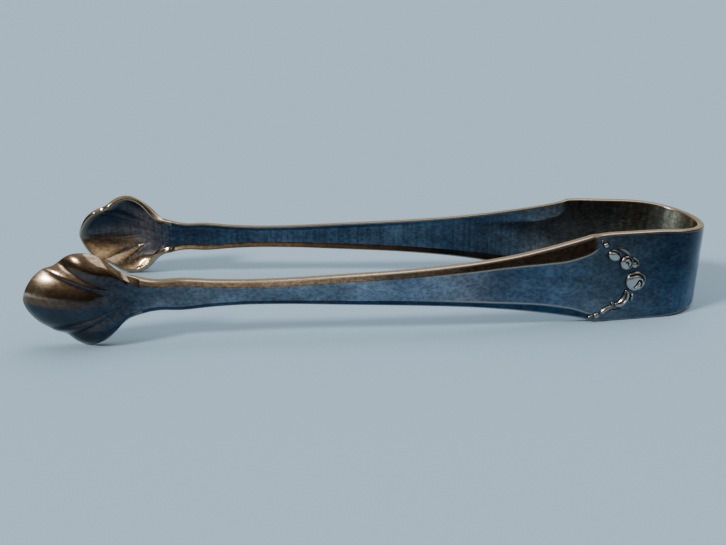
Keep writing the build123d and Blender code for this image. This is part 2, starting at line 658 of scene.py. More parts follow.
    def _inner_colour(self, desk: SurfaceDesk, upward: bpy.types.NodeSocket) -> bpy.types.NodeSocket:
        """Colour the faces that look at each other, and paint a reflection by which way they face.

        Args:
            desk: the material under construction.
            upward: how far the surface faces up.

        Returns:
            The colour before mottling.
        """
        marks = desk.spread(desk.noise(self.brushing), *self.brushed)
        colour = desk.shade(desk.zone(self.inner), marks)
        # Painted reflection: inner faces that turn up take warm colours, those that turn down dark blue ones.
        colour = desk.blend(desk.spread(upward, *self.inner_rise), colour, desk.zone(self.inner_upward_reflection))
        return desk.blend(desk.spread(upward, *self.inner_fall), colour, desk.zone(self.lower))

    def build(self) -> bpy.types.Material:
        """Make the material.

        Returns:
            The new material.
        """
        desk = SurfaceDesk(self.name)
        clouds, drift = desk.noise(self.clouds), desk.noise(self.drift)
        speckle, scratches = desk.noise(self.speckle), desk.noise(self.scratches)
        groove = desk.attribute(Tone.GROOVE)
        upward = desk.upward()

        colour = desk.blend(
            desk.attribute(Tone.INSIDE), self._outer_colour(desk, upward), self._inner_colour(desk, upward)
        )
        colour = desk.blend(desk.spread(drift, *self.cooled), colour, desk.tint(colour, self.cool))
        colour = desk.shade(colour, desk.spread(drift, *self.drifted))
        colour = desk.shade(colour, desk.spread(clouds, *self.clouded))
        colour = desk.blend(desk.spread(desk.noise(self.patches), *self.patched), colour, self.blush)
        colour = desk.shade(colour, desk.spread(speckle, *self.speckled))
        # Worn edges show the bright colours; on the strip's edges and creases this is also a painted
        # highlight.
        worn_and_highlit = desk.combine("MULTIPLY", desk.attribute(Tone.WEAR), desk.spread(speckle, *self.worn_and_highlit))
        colour = desk.blend(worn_and_highlit, colour, desk.zone(self.bright))
        # Darker creases, chased lines and fan lines, and painted shade at the feet of the ornament's shapes.
        colour = desk.blend(groove, colour, self.dark)

        dull = desk.spread(clouds, *self.mottled, *self.gloss)
        scored = desk.combine("MULTIPLY", desk.spread(scratches, *self.scratched), self.scratch_dulling)
        dull = desk.combine("ADD", dull, scored)
        dull = desk.combine("ADD", dull, desk.combine("MULTIPLY", groove, self.groove_dulling))
        relief = desk.bump(speckle, self.speckle_depth, desk.bump(scratches, self.scratch_depth))

        desk.feed(desk.shader.inputs["Base Color"], colour)
        desk.shader.inputs["Metallic"].default_value = 1.0
        desk.feed(desk.shader.inputs["Roughness"], dull)
        desk.feed(desk.shader.inputs["Normal"], relief)
        return desk.material


# The strip's colours are partly tarnish and partly painted reflection: the face's light band near x 5 to 13
# and dark band near x 21, the inner faces' lighter band from x 40 to 60, warm colours where it faces up and
# dark blue where it faces down.
STRIP_FINISH = AgedSilver(
    name="aged_silver_strip",
    face=(
        (-43.0, (0.07, 0.08, 0.1)), (-38.0, (0.11, 0.12, 0.145)), (-10.0, (0.135, 0.165, 0.205)),
        (5.0, (0.19, 0.22, 0.272)), (13.0, (0.2, 0.2, 0.228)), (21.0, (0.065, 0.082, 0.112)),
        (30.0, (0.068, 0.1, 0.143)), (41.0, (0.085, 0.1, 0.12)), (53.0, (0.036, 0.056, 0.082)),
        (61.0, (0.03, 0.06, 0.10)),
    ),
    upper=(
        (-43.0, (0.34, 0.26, 0.18)), (-20.0, (0.6, 0.5, 0.39)), (-4.0, (0.6, 0.52, 0.42)),
        (8.0, (0.48, 0.4, 0.31)), (17.0, (0.2, 0.12, 0.075)), (38.0, (0.13, 0.07, 0.045)),
    ),
    lower=((-40.0, (0.022, 0.036, 0.06)), (30.0, (0.018, 0.045, 0.08)), (45.0, (0.022, 0.036, 0.06))),
    inner=(
        (-43.0, (0.04, 0.055, 0.08)), (-30.0, (0.048, 0.07, 0.1)), (5.0, (0.068, 0.1, 0.132)),
        (14.0, (0.045, 0.07, 0.1)), (30.0, (0.06, 0.07, 0.085)), (40.0, (0.2, 0.18, 0.165)),
        (51.0, (0.3, 0.27, 0.24)), (60.0, (0.34, 0.27, 0.18)),
    ),
    inner_upward_reflection=(
        (-43.0, (0.6, 0.45, 0.28)), (-25.0, (0.3, 0.2, 0.12)), (0.0, (0.2, 0.12, 0.07)),
        (30.0, (0.12, 0.08, 0.05)),
    ),
    bright=((-43.0, (0.42, 0.33, 0.23)), (10.0, (0.5, 0.42, 0.33)), (60.0, (0.42, 0.36, 0.28))),
    dark=(0.02, 0.016, 0.016),
    gloss=(0.17, 0.27),
)
# The bowl's colours are partly tarnish and partly painted reflection: dark sides, gold where it faces up and
# brightest at the tip, bright gold where the inside turns up, and dark blue where it faces down.
BOWL_FINISH = replace(
    STRIP_FINISH,
    name="aged_silver_bowl",
    face=((-60.0, (0.012, 0.024, 0.04)), (-49.0, (0.024, 0.033, 0.048)), (-43.0, (0.07, 0.08, 0.1))),
    upper=(
        (-62.0, (0.75, 0.62, 0.44)), (-58.0, (0.32, 0.245, 0.165)), (-54.0, (0.2, 0.15, 0.1)),
        (-47.0, (0.17, 0.13, 0.09)), (-43.0, (0.34, 0.26, 0.18)),
    ),
    lower=((-60.0, (0.008, 0.018, 0.034)), (-43.0, (0.03, 0.045, 0.065))),
    inner=(
        (-62.0, (0.042, 0.04, 0.048)), (-55.0, (0.055, 0.047, 0.05)), (-50.0, (0.14, 0.095, 0.09)),
        (-46.5, (0.1, 0.075, 0.078)), (-43.0, (0.04, 0.055, 0.08)),
    ),
    inner_upward_reflection=((-60.0, (0.85, 0.66, 0.45)), (-43.0, (0.95, 0.78, 0.54))),
    turning_reflection=(
        (-60.0, (0.12, 0.065, 0.04)), (-53.0, (0.055, 0.038, 0.034)), (-46.0, (0.045, 0.046, 0.056)),
        (-43.0, (0.07, 0.08, 0.1)),
    ),
    blush=(0.07, 0.05, 0.052),
    gloss=(0.13, 0.2),
    rise=(-0.16, 0.04),
    crest=(0.15, 0.32),
)
# The ornament is painted lighter and warmer where it faces up and darker where it faces down: painted
# reflection.
ORNAMENT_FINISH = replace(
    STRIP_FINISH,
    name="aged_silver_ornament",
    face=((0.0, (0.09, 0.1, 0.11)),),
    upper=((0.0, (0.22, 0.19, 0.155)),),
    lower=((0.0, (0.06, 0.073, 0.086)),),
    bright=((0.0, (0.42, 0.405, 0.385)),),
    gloss=(0.18, 0.28),
)


@dataclass
class StripForm:
    """Sizes of the spring strip, in millimetres, for the half at positive y.

    Attributes:
        length: length of the tongs over the crown and the bowls.
        mid_z: height of the strip's centre line.
        neck_x: x where the arm ends and the bowl begins.
        thickness: thickness of the strip.
        crown_radius: outer radius of the crown.
        crown_half: half the strip's width at the crown's apex.
        splay_deg: how far each side of the bow leans outwards.
        flat_end_x: x where the strip begins to narrow round the crown.
        narrowing: how late that narrowing comes; 1 would be even.
        edge_radius: rounding of the outer edges.
        inner_roundness: rounding of the inner edges, as a share of edge_radius.
        crease_softness: rounding of the crease where a bevel begins.
        inner_softness: the same on the inner face.
        bevel_end: x where the bevels die away at the ornament.
        bevel_fading: length over which they do.
        bevel_fall: how far a bevel falls back for each millimetre of its width, by x.
        outer_face: y of the outer face, by x.
        outline: half the arm's width, by x.
        upper_bevel: width of the upper bevel, by x.
        lower_bevel: width of the lower bevel, by x.
    """

    length: float
    mid_z: float
    neck_x: float
    thickness: float = 1.4
    crown_radius: float = 10.35
    crown_half: float = 7.65
    splay_deg: float = 7.35
    flat_end_x: float = 51.4
    narrowing: float = 1.6
    edge_radius: float = 0.38
    inner_roundness: float = 0.8
    crease_softness: float = 0.07
    inner_softness: float = 0.2
    bevel_end: float = 40.2
    bevel_fading: float = 1.6
    bevel_fall: CurveThrough = field(
        default_factory=lambda: CurveThrough(
            [(-43.0, 0.62), (-10.0, 0.5), (10.0, 0.32), (22.0, 0.25), (43.0, 0.22)]
        )
    )
    outer_face: CurveThrough = field(
        default_factory=lambda: CurveThrough(
            [(54.47, 10.265), (47.0, 11.23), (41.0, 12.0), (37.5, 12.47), (34.0, 13.0), (30.0, 13.55),
             (23.0, 14.35), (15.0, 15.02), (5.0, 15.72), (-8.0, 16.25), (-22.0, 16.6), (-36.0, 17.12),
             (-43.0, 17.5)],
            round_peaks=True,
        )
    )
    outline: CurveThrough = field(
        default_factory=lambda: CurveThrough(
            [(51.4, 8.8), (43.0, 8.8), (40.4, 8.68), (39.2, 8.42), (37.5, 7.95), (34.0, 7.15), (30.0, 6.35),
             (23.0, 5.15), (15.0, 4.2), (5.0, 3.45), (-8.0, 2.82), (-18.0, 2.4), (-24.0, 2.31), (-30.0, 2.5),
             (-34.5, 2.86), (-36.3, 2.97), (-38.0, 2.9), (-39.5, 2.84), (-41.3, 2.98), (-43.0, 3.35)]
        )
    )
    upper_bevel: CurveThrough = field(
        default_factory=lambda: CurveThrough(
            [(45.0, 1.6), (40.5, 2.3), (37.8, 3.1), (34.8, 3.2), (30.0, 2.6), (25.0, 1.9), (20.0, 1.55),
             (11.0, 1.3), (-8.0, 1.1), (-26.0, 0.98), (-43.0, 0.95)]
        )
    )
    lower_bevel: CurveThrough = field(
        default_factory=lambda: CurveThrough(
            [(45.0, 1.2), (39.0, 1.5), (34.8, 1.95), (30.0, 2.0), (25.0, 1.75), (20.0, 1.5), (11.0, 1.3),
             (-8.0, 1.1), (-26.0, 0.98), (-43.0, 0.95)]
        )
    )

    @property
    def crown_x(self) -> float:
        """Centre of the crown's arc."""
        return self.length / 2 - self.crown_radius

    def half_width(self, x: np.ndarray) -> np.ndarray:
        """Work out half the strip's width, narrowing round the crown.

        Args:
            x: where, in millimetres.

        Returns:
            Half the width at each x.
        """
        share = np.clip((x - self.flat_end_x) / (self.length / 2 - self.flat_end_x), 0, 1)
        widest = self.mid_z
        narrowed = widest - (widest - self.crown_half) * share**self.narrowing
        return np.where(x > self.flat_end_x, narrowed, np.minimum(self.outline(x), widest))

    def past_crease(self, distance: np.ndarray, softness: float) -> np.ndarray:
        """Turn a distance past a bevel's crease into the slope's length there.

        Args:
            distance: distance past the crease, negative on the flat face.
            softness: how far the crease is rounded over.

        Returns:
            0 on the flat face, the distance on the bevel, and a smooth change between.
        """
        return (np.sqrt(distance**2 + softness**2) + distance) / 2

    def stations(self) -> tuple[np.ndarray, np.ndarray]:
        """Lay out the outer face in plan, from the apex of the crown to the neck.

        Returns:
            Points and their outward normals, each shaped (stations, 2).
        """
        apex_steps, crown_steps = [0.0, 0.12], np.linspace(1.2, 90 - self.splay_deg, 56)
        bow_end, scroll_end, neck_start = 43.0, 35.0, -38.0
        bow_step, scroll_step, arm_step, neck_step = 0.5, 0.2, 0.7, 0.12
        last_step, last_gap, nudge = 0.04, 0.1, 0.01
        turn = np.radians(np.concatenate([apex_steps, crown_steps]))
        arc_normals = np.stack([np.cos(turn), np.sin(turn)], axis=1)
        arc = arc_normals * self.crown_radius + [self.crown_x, 0.0]
        x = np.concatenate([
            np.arange(arc[-1, 0] - bow_step, bow_end, -bow_step),
            np.arange(bow_end, scroll_end, -scroll_step),
            np.arange(scroll_end, neck_start, -arm_step),
            np.arange(neck_start, self.neck_x + last_gap, -neck_step),
            [self.neck_x + last_step, self.neck_x],
        ])
        y = self.outer_face(x)
        slope = (self.outer_face(x + nudge) - self.outer_face(x - nudge)) / (2 * nudge)
        normals = np.stack([-slope, np.ones_like(slope)], axis=1)
        normals /= np.linalg.norm(normals, axis=1)[:, None]
        return np.concatenate([arc, np.stack([x, y], axis=1)]), np.concatenate([arc_normals, normals])


@dataclass
class TongsPart:
    """What every sub-assembly has: the strip it belongs to, its side and its metal."""

    form: StripForm
    side: Side
    metal: bpy.types.Material

    def dress(self, piece: bpy.types.Object) -> None:
        """Give a piece its one metal.

        Args:
            piece: the piece.
        """
        piece.data.materials.clear()
        piece.data.materials.append(self.metal)


@dataclass
class StripSection:
    """One cross-section of the strip, as (height, offset) points: 0 is the outer face.

    Attributes:
        form: the strip.
        half: half the strip's width here.
        upper: width of the upper bevel.
        lower: width of the lower bevel.
        lean: how far a bevel falls back for each millimetre of its width.
        crease_tone: how far the bevels' creases are brightened, from 0 to 1, as a painted highlight with
            wear.
        panel_points: points across the flat face.
        bevel_points: points across a bevel.
    """

    form: StripForm
    half: float
    upper: float
    lower: float
    lean: float
    crease_tone: float
    panel_points: int = 34
    bevel_points: int = 9

    def past(self, z: np.ndarray) -> np.ndarray:
        """Distance past the nearer bevel's crease, negative on the flat face."""
        return np.where(z > 0, z - (self.half - self.upper), -z - (self.half - self.lower))

    def _panel(self) -> np.ndarray:
        """Draw the flat face and both bevels, without their edges.

        Returns:
            (height, offset) points, bottom to top.
        """
        near_crease = np.array([-0.3, -0.16, -0.07, 0.0, 0.07, 0.16, 0.3])
        full_bevel = 1.6
        tops = self.half - self.form.edge_radius
        heights = []
        for bevel, sign in ((self.lower, -1.0), (self.upper, 1.0)):
            near = self.half - bevel + near_crease * min(1.0, bevel / full_bevel)
            outside = np.linspace(near[-1], tops, self.bevel_points + 1)[1:]
            heights.append(np.sort(sign * np.concatenate([near, outside])))
        middle = np.linspace(heights[0][-1], heights[1][0], self.panel_points + 2)[1:-1]
        z = np.concatenate([heights[0], middle, heights[1]])
        slope = self.form.past_crease(self.past(z), self.form.crease_softness)
        return np.stack([z, -self.lean * slope], axis=1)

    def _edges(self, back: float, across: float, radius: float) -> tuple[np.ndarray, np.ndarray]:
        """Round the lower and the upper edge of one face.

        Args:
            back: offset of the face.
            across: which way the edge runs from the face, -1 inwards or 1 outwards.
            radius: radius of the rounding.

        Returns:
            Points of the lower and of the upper edge, from the face outwards.
        """
        along = np.array([-1.0, self.lean]) / math.hypot(1.0, self.lean)
        away = np.array([0.0, across])
        flip = np.array([-1.0, 1.0])
        upper, lower = (
            corner(np.array([self.half, back - self.lean * bevel]), along, away, radius)
            for bevel in (self.upper, self.lower)
        )
        return lower * flip, upper

    def loop(self) -> tuple[np.ndarray, dict[Tone, np.ndarray]]:
        """Draw the whole loop.

        Returns:
            (height, offset) points of the loop, and its tones.
        """
        form = self.form
        clearance, tuck = 0.02, np.array([0.01, 0.0])
        face = self._panel()
        bottom_round, top_round = self._edges(0.0, -1.0, form.edge_radius)
        keep = (face[:, 0] < top_round[0, 0] - clearance) & (face[:, 0] > bottom_round[0, 0] + clearance)
        face[~keep & (face[:, 0] > 0)] = top_round[0] - tuck
        face[~keep & (face[:, 0] < 0)] = bottom_round[0] + tuck
        outer = np.concatenate([bottom_round[::-1], face, top_round])

        back = -form.thickness
        back_bottom, back_top = self._edges(back, 1.0, form.edge_radius * form.inner_roundness)
        past = self.past(face[:, 0])
        slope = self.lean * form.past_crease(past, form.inner_softness)
        inner = np.concatenate([back_bottom[::-1], np.stack([face[:, 0], back - slope], axis=1), back_top])

        # The rounded edges are worn bright, partly as a painted highlight; the creases carry a painted
        # highlight with wear.
        edge_wear = np.linspace(0.45, 1.0, CORNER_STEPS)
        crease_reach, crease_share = 0.16, 0.8
        crease_highlight_and_wear = crease_share * self.crease_tone * np.exp(-((past / crease_reach) ** 2))
        outer_wear = np.concatenate([edge_wear[::-1], crease_highlight_and_wear, edge_wear])
        inner_wear = np.concatenate([edge_wear[::-1], np.zeros(len(past)), edge_wear])
        return np.concatenate([outer, inner[::-1]]), {
            Tone.WEAR: np.concatenate([outer_wear, inner_wear[::-1]]),
            Tone.INSIDE: np.concatenate([np.zeros(len(outer)), np.ones(len(inner))]),
        }


@dataclass
class SpringStrip(TongsPart):
    """One half of the bow with its arm: plain round the crown, bevelled along the arm.

    Attributes:
        flex_start: (x, y) in metres where the bow begins to bend, for the half at positive y; not used.
        flex_end: (x, y) in metres where it has bent fully; not used.
        crease_from: x in millimetres where the creases begin to be brightened as a painted highlight with
            wear.
        crease_growth: length over which they become fully bright.
    """

    flex_start: Point = (0.0592, 0.0078)
    flex_end: Point = (0.0496, 0.0102)
    crease_from: float = 2.0
    crease_growth: float = 18.0

    def _skin(self) -> tuple[np.ndarray, dict[Tone, np.ndarray]]:
        """Sweep the cross-section from the crown to the neck.

        Returns:
            Points in millimetres, shaped (stations, points in a loop, 3), and their tones.
        """
        form = self.form
        points, normals = form.stations()
        middle = points[:, 0] - normals[:, 0] * form.thickness / 2
        halves = form.half_width(middle)
        loops, tones = [], {Tone.WEAR: [], Tone.INSIDE: []}
        for point, normal, x, half in zip(points, normals, middle, halves):
            strength = float(ease((form.bevel_end - x) / form.bevel_fading))
            section = StripSection(
                form, float(half), float(form.upper_bevel(x)), float(form.lower_bevel(x)),
                lean=float(form.bevel_fall(x)) * strength,
                crease_tone=strength * float(ease((x - self.crease_from) / self.crease_growth)),
            )
            loop, section_tones = section.loop()
            x_line, y_line = (point + loop[:, 1:2] * normal).T
            loops.append(np.stack([x_line, y_line * self.side.value, form.mid_z + loop[:, 0]], axis=1))
            for tone, values in section_tones.items():
                tones[tone].append(values)
        return np.array(loops), {tone: np.array(values) for tone, values in tones.items()}

    def build(self) -> bpy.types.Object:
        """Make the strip and let it stand for its CAD nodes.

        Returns:
            The new piece.
        """
        loops, tones = self._skin()
        stations, count = loops.shape[:2]
        faces = []
        for i in range(stations - 1):
            for j in range(count):
                k = (j + 1) % count
                faces.append((i * count + j, i * count + k, (i + 1) * count + k, (i + 1) * count + j))
        for end in (0, stations - 1):
            faces += cap_faces(end * count, count)
        piece = make_piece(f"{self.side.label}_spring_arm", loops.reshape(-1, 3), faces, tones)
        self.side.body
        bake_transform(piece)
        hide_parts("bow_crown", f"{self.side.label}_shoulder", f"{self.side.label}_arm")
        self.dress(piece)
        return piece


@dataclass(frozen=True)
class Lobe:
    """One lobe of a bowl: the angle of its middle, half its angle, and how far it swells out."""

    centre_deg: float
    half_deg: float
    height: float


@dataclass
class RayGrid:
    """The points of a bowl's outer skin, by ray and by ring.

    Attributes:
        angle: angle of each ray in degrees.
        reach: distance from the middle of the neck to the rim, by ray.
        share: how far along its ray each ring lies, from 0 to 1.
        groove: how near each ray is to a crease, from 0 to 1.
        surface: points, shaped (rays, rings, 3).
        normal: outward directions, shaped like surface.
        thickness: thickness of the shell, shaped (rays, rings).
        fluted: how far the lobes swell out, shaped (rays, rings).
    """

    angle: np.ndarray
    reach: np.ndarray
    share: np.ndarray
    groove: np.ndarray
    surface: np.ndarray
    normal: np.ndarray
    thickness: np.ndarray
    fluted: np.ndarray

    def ring_values(self, keep: np.ndarray, values: np.ndarray) -> np.ndarray:
        """Read values between the rings.

        Args:
            keep: ring numbers with fractions, shaped (rays, count).
            values: numbers shaped (rays, rings), or vectors shaped (rays, rings, 3).

        Returns:
            The values at those places.
        """
        low = np.clip(np.floor(keep).astype(int), 0, len(self.share) - 2)
        part = keep - low
        if values.ndim > 2:
            part = part[:, :, None]
        rows = np.arange(len(self.angle))[:, None]
        return values[rows, low] * (1 - part) + values[rows, low + 1] * part


@dataclass
class ShellBowl(TongsPart):
    """A fluted shell with five lobes, dished out of the end of the arm.

    Its surface is drawn along rays that fan out from the middle of the neck, so that the
    creases between its lobes run straight from the neck to the rim. Lengths are in
    millimetres, and "along" is the distance from the neck.

    Attributes:
        dish: depth of the bowl.
        dish_start: length over which the dish reaches its depth.
        dish_fullness: how flat its floor is, near the neck and at the tip.
        fullness_growth: length over which the floor flattens.
        rim_drop: how far the rim lies inside the arm's outer face.
        neck_slope: slope of the arm's outer face at the neck.
        settling: length over which the shell leaves that slope.
        flute_start: along where the lobes begin.
        flute_growth: length over which they reach their height.
        rim_thickness: thickness at the rim.
        thinning: length over which the shell thins to it.
        edge_radius: rounding of the rim.
        rings: rings between the neck and the rim.
        rays: rays from one side of the neck to the other.
        ring_crowding: how much closer the rings lie near the rim.
        outline_points: (x, height above the centre line) of the rim's upper half.
        lobes: the middle lobe and, on each side, the next two.
        crease_width_deg: width of the dark line in a crease.
        inner_flute_share: how much of the lobes shows inside.
        neck_fade: along where the arm's bevels have died away.
        flank_spread: how fast those bevels widen into the bowl's flanks.
        fan_strength: how dark the fine lines are that fan out inside.
        fan_start: along where they are fully dark.
        fan_end: share of the way to the rim where they begin to fade and are gone.
        fan_seed: which set of those lines is drawn.
    """

    dish: float = 3.45
    dish_start: float = 8.5
    dish_fullness: Span = (2.2, 4.0)
    fullness_growth: float = 10.0
    rim_drop: float = 0.5
    neck_slope: float = 0.054
    settling: float = 8.0
    flute_start: float = 2.5
    flute_growth: float = 9.0
    rim_thickness: float = 1.05
    thinning: float = 6.0
    edge_radius: float = 0.34
    rings: int = 70
    rays: int = 361
    ring_crowding: float = 1.15
    outline_points: tuple[Point, ...] = (
        (-43.0, 3.35), (-44.6, 3.95), (-46.2, 4.85), (-47.9, 6.4), (-49.6, 7.95), (-51.1, 8.6),
        (-52.6, 8.8), (-54.2, 8.55), (-55.6, 7.85), (-56.8, 6.95), (-57.8, 6.4), (-58.9, 6.05),
        (-60.3, 5.25), (-61.6, 4.05), (-62.6, 2.6), (-63.25, 1.2), (-63.5, 0.0),
    )
    lobes: tuple[Lobe, ...] = (Lobe(0.0, 18.6, 0.85), Lobe(22.4, 3.8, 0.34), Lobe(47.0, 20.8, 0.8))
    crease_width_deg: float = 1.4
    inner_flute_share: float = 0.35
    neck_fade: float = 9.0
    flank_spread: float = 0.3
    fan_strength: float = 0.5
    fan_start: float = 4.0
    fan_end: Span = (0.55, 0.95)
    fan_seed: int = 4

    def rim(self, angle: np.ndarray) -> np.ndarray:
        """Measure the bowl along its rays.

        Args:
            angle: ray angles in degrees.

        Returns:
            Distance from the middle of the neck to the rim on each ray.
        """
        outline_steps = 900
        outline = spine_through(self.outline_points, outline_steps)
        x, z = np.maximum(outline[:, 0], -self.form.length / 2), outline[:, 1]
        turn = np.degrees(np.arctan2(z, self.form.neck_x - x))
        order = np.argsort(turn)
        return np.interp(np.abs(angle), turn[order], np.hypot(z, x - self.form.neck_x)[order])

    def flutes(self, angle: np.ndarray) -> tuple[np.ndarray, np.ndarray]:
        """Work out the lobes' swelling, and how near each ray is to a crease.

        Args:
            angle: ray angles in degrees.

        Returns:
            Swelling in millimetres, and a groove tone from 0 to 1.
        """
        last_crease_deg = 60
        blur_reach, blur_points = 3, 13
        swelling = np.zeros_like(angle)
        groove = np.zeros_like(angle)
        turned = np.abs(angle)
        for lobe in self.lobes:
            off = np.abs(turned - lobe.centre_deg) / lobe.half_deg
            swelling = np.where(off < 1, lobe.height * np.cos(math.pi / 2 * off), swelling)
            crease = lobe.centre_deg + lobe.half_deg
            if crease < last_crease_deg:
                groove = np.maximum(groove, np.exp(-(((turned - crease) / self.crease_width_deg) ** 2)))
        blur = np.exp(-(np.linspace(-blur_reach, blur_reach, blur_points) ** 2) / 2)
        softened = np.convolve(np.pad(swelling, len(blur) // 2, mode="edge"), blur / blur.sum(), mode="valid")
        return softened, groove

    def _grid(self) -> RayGrid:
        """Draw the outer skin.

        Returns:
            Its points, with what the other steps need to know about them.
        """
        form = self.form
        angle = np.linspace(-90.0, 90.0, self.rays)
        reach = self.rim(angle)
        share = np.sin(np.linspace(0.0, 1.0, self.rings + 1) * math.pi / 2) ** self.ring_crowding
        along = np.cos(np.radians(angle))[:, None] * reach[:, None] * share[None, :]
        z = np.sin(np.radians(angle))[:, None] * reach[:, None] * share[None, :]
        swelling, groove = self.flutes(angle)
        near_neck, at_tip = self.dish_fullness
        fullness = near_neck + (at_tip - near_neck) * ease(along / self.fullness_growth)
        dished = ease(along / self.dish_start) * self.dish * (1 - share[None, :] ** fullness)
        fluted = ease((along - self.flute_start) / self.flute_growth) * swelling[:, None]
        settle = ease(along / self.settling)
        arm_face = float(form.outer_face(form.neck_x))
        base = arm_face + self.neck_slope * along * (1 - settle) - self.rim_drop * settle
        surface = np.stack([form.neck_x - along, base + dished + fluted, z], axis=2)

        normal = self._normals(surface)
        flank = float(form.upper_bevel(form.neck_x)) + self.flank_spread * along
        past = form.past_crease(flank - reach[:, None] * (1 - share[None, :]), form.crease_softness)
        surface[:, :, 1] -= float(form.bevel_fall(form.neck_x)) * past * (1 - ease(along / self.neck_fade))
        thickness = form.thickness - (form.thickness - self.rim_thickness) * ease(along / self.thinning)
        return RayGrid(angle, reach, share, groove, surface, normal, thickness, fluted)

    def _flat(self) -> np.ndarray:
        """Outward direction of the arm's face at the neck."""
        return np.array([self.neck_slope, 1.0, 0.0]) / math.hypot(self.neck_slope, 1.0)

    def _normals(self, surface: np.ndarray) -> np.ndarray:
        """Work out the outward directions of the skin.

        Args:
            surface: its points, shaped (rays, rings, 3).

        Returns:
            Unit vectors, shaped like surface.
        """
        tiny = 1e-12
        smallest = 1e-7
        normal = np.cross(np.gradient(surface, axis=0), np.gradient(surface, axis=1))
        normal *= np.sign(normal[:, :, 1:2] + tiny)
        size = np.linalg.norm(normal, axis=2, keepdims=True)
        normal = np.where(size > smallest, normal / np.maximum(size, tiny), self._flat())
        normal[:, :2] = self._flat()
        return normal

    def _rim_rounds(self, grid: RayGrid) -> tuple[np.ndarray, np.ndarray, np.ndarray]:
        """Round the rim over.

        Args:
            grid: the outer skin.

        Returns:
            Points of the outer and of the inner rounding, shaped (rays, CORNER_STEPS, 3),
            and the share of each ray that is left for the face inside them.
        """
        straight_from_deg, straight_over_deg = 76, 12
        spare, least_slant = 1.25, 0.3
        edge = grid.surface[:, -1]
        out = grid.normal[:, -1]
        tangent = np.gradient(edge, axis=0)
        straight = ease((np.abs(grid.angle) - straight_from_deg) / straight_over_deg)[:, None]
        tangent /= np.linalg.norm(tangent, axis=1)[:, None]
        along_arm = np.sign(grid.angle)[:, None] * np.array([1.0, 0.0, 0.0])
        tangent = tangent * (1 - straight) + along_arm * straight
        inward = np.cross(out, tangent)
        inward /= np.linalg.norm(inward, axis=1)[:, None]
        centre = np.array([self.form.neck_x, 0.0, 0.0]) - edge
        inward *= np.sign(np.sum(inward * centre * [1, 0, 1], axis=1))[:, None]

        turn = np.linspace(0, math.pi / 2, CORNER_STEPS)
        reach_in = (self.edge_radius * (1 - np.sin(turn)))[None, :, None] * inward[:, None]
        reach_down = (self.edge_radius * (1 - np.cos(turn)))[None, :, None] * out[:, None]
        lower = edge - out * grid.thickness[:, -1:]
        slant = np.abs(np.sum(inward * (centre / np.linalg.norm(centre, axis=1)[:, None]), axis=1))
        limit = 1 - spare * self.edge_radius / (grid.reach * np.clip(slant, least_slant, 1.0))
        return edge[:, None] + reach_in - reach_down, lower[:, None] + reach_in + reach_down, limit

    def _faces(self, count: int) -> list[tuple[int, ...]]:
        """Join the skin's points.

        Args:
            count: points on each ray, from the outer pole's ring round to the inner pole's.

        Returns:
            Vertex indices of each face; the outer and the inner pole come last.
        """
        outer_pole, inner_pole = self.rays * count, self.rays * count + 1
        faces = []
        for i in range(self.rays - 1):
            a, b = i * count, (i + 1) * count
            faces.append((outer_pole, a, b))
            faces.append((inner_pole, a + count - 1, b + count - 1))
            faces += [(a + j, a + j + 1, b + j + 1, b + j) for j in range(count - 1)]
        for end in (0, (self.rays - 1) * count):
            faces.append((outer_pole, end, end + count - 1, inner_pole))
            faces += cap_faces(end, count)
        return faces

    def _tones(self, grid: RayGrid, top: np.ndarray, inner_share: np.ndarray) -> dict[Tone, np.ndarray]:
        """Mark the rim, the inside and the creases for the finish.

        Args:
            grid: the outer skin.
            top: points of the outer face, shaped (rays, rings, 3).
            inner_share: how far along its ray each of them lies.

        Returns:
            One value per vertex for each tone.
        """
        edge_wear = np.tile(np.linspace(0.4, 1.0, CORNER_STEPS), (self.rays, 1))
        deepest, deep_from, deep_over = 0.6, 3.0, 8.0
        crest_wear, inner_crest, inner_crease = 0.12, 0.5, 0.1
        deep = deepest * ease((np.abs(top[:, :, 0] - self.form.neck_x) - deep_from) / deep_over)
        groove = grid.groove[:, None] * deep
        crest = crest_wear * deep * (1 - grid.groove[:, None])
        wear = np.concatenate([crest, edge_wear, edge_wear[:, ::-1], inner_crest * crest[:, ::-1]], axis=1)
        half_loop = (self.rays, self.rings + CORNER_STEPS)
        inside = np.concatenate([np.zeros(half_loop), np.ones(half_loop)], axis=1)

        brush = [0.1, 0.22, 0.36, 0.36, 0.36, 0.22, 0.1]
        fan = np.random.default_rng(self.fan_seed).uniform(-1.0, 1.0, self.rays)
        fan = np.convolve(np.pad(fan, len(brush) // 2, mode="wrap"), brush, mode="valid")
        from_neck = ease(grid.reach[:, None] * inner_share / self.fan_start)
        before_rim = 1 - ease((inner_share - self.fan_end[0]) / (self.fan_end[1] - self.fan_end[0]))
        lines = self.fan_strength * np.clip(fan, 0, 1)[:, None] * from_neck * before_rim
        inner_groove = np.maximum(inner_crease * groove, lines)
        plain_edge = np.zeros((self.rays, 2 * CORNER_STEPS))
        crease = np.concatenate([groove, plain_edge, inner_groove[:, ::-1]], axis=1)
        return {
            Tone.WEAR: np.append(wear.ravel(), [0, 0]),
            Tone.INSIDE: np.append(inside.ravel(), [0, 1]),
            Tone.GROOVE: np.append(crease.ravel(), [0, 0]),
        }

